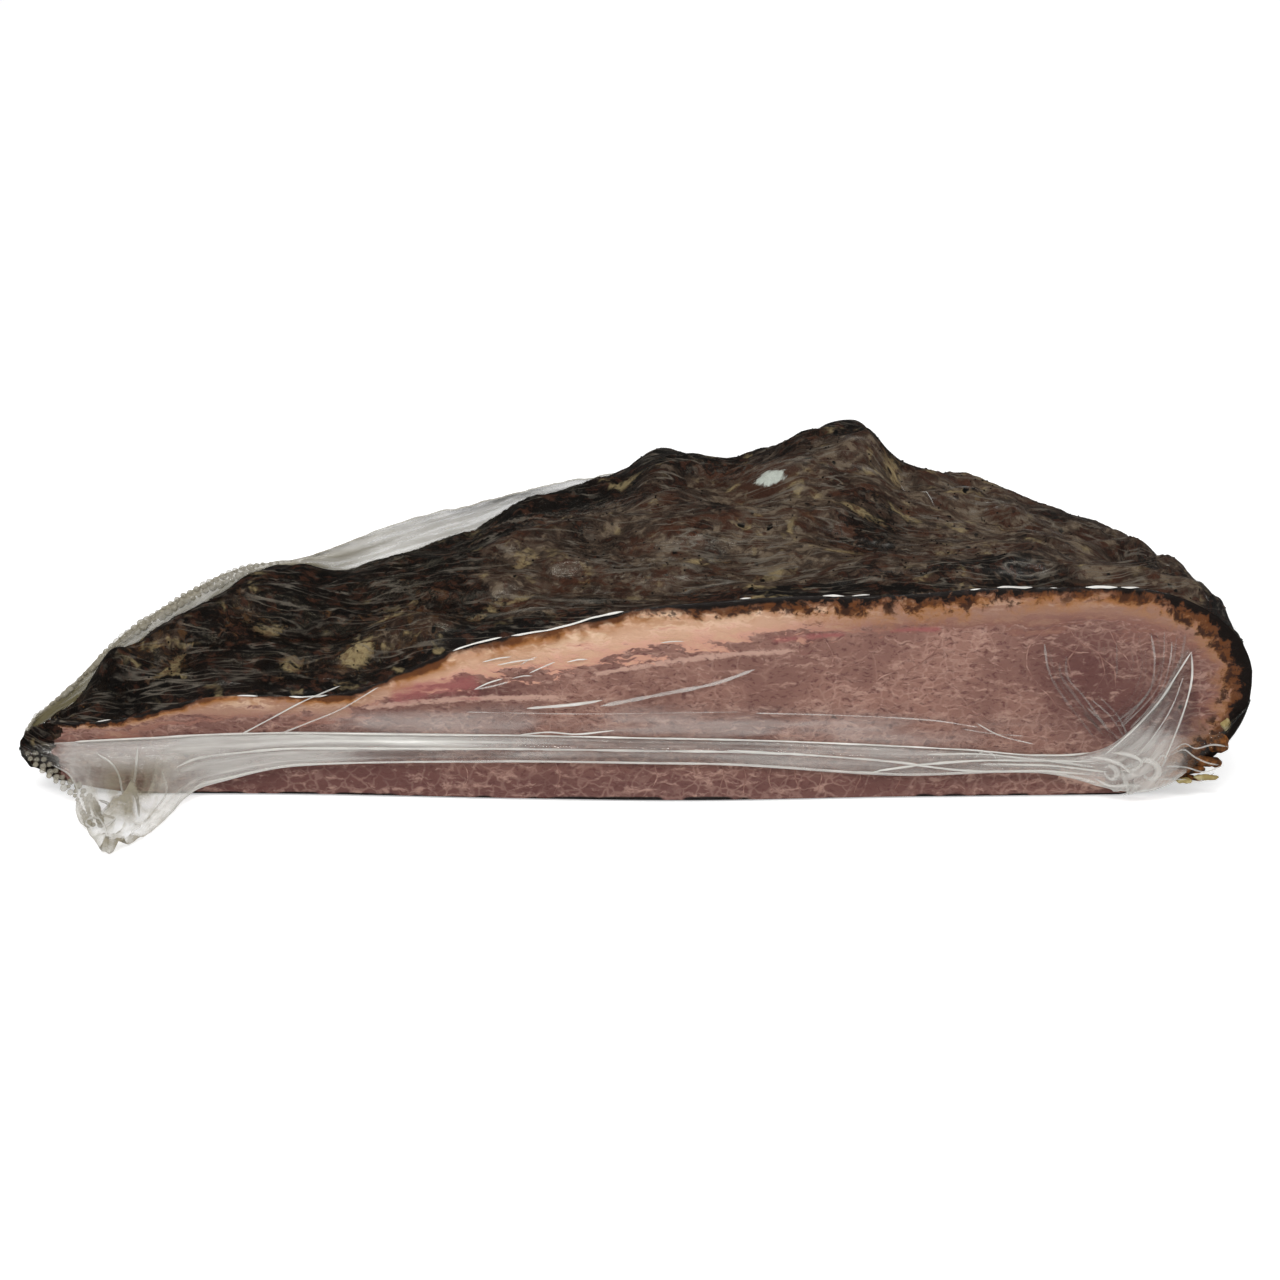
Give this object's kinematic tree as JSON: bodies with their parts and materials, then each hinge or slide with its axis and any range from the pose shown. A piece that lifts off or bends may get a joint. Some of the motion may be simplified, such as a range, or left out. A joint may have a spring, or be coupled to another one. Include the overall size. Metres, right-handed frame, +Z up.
{
  "type": "smoked beef brisket",
  "caption": "Smoked beef brisket cut lengthwise, with a dark bark, a fat cap and an open cut face, sealed in a clear vacuum bag with a free seam and fold.",
  "frame": {"origin": "a point on the flat underside, near the middle of the meat", "axes": "+X along the brisket towards its thick end, -Y out of the cut face, +Z up"},
  "size_m": [0.4294, 0.2158, 0.1088],
  "materials": {
    "bark": "dark, oily smoked crust with grey fat flecks, glossy under clear film",
    "meat": "moist sliced beef with fine grain and pale fat",
    "film": "clear, glossy and wrinkled"
  },
  "bodies": {
    "root": {"bagged_brisket": "bark"}
  },
  "joints": []
}
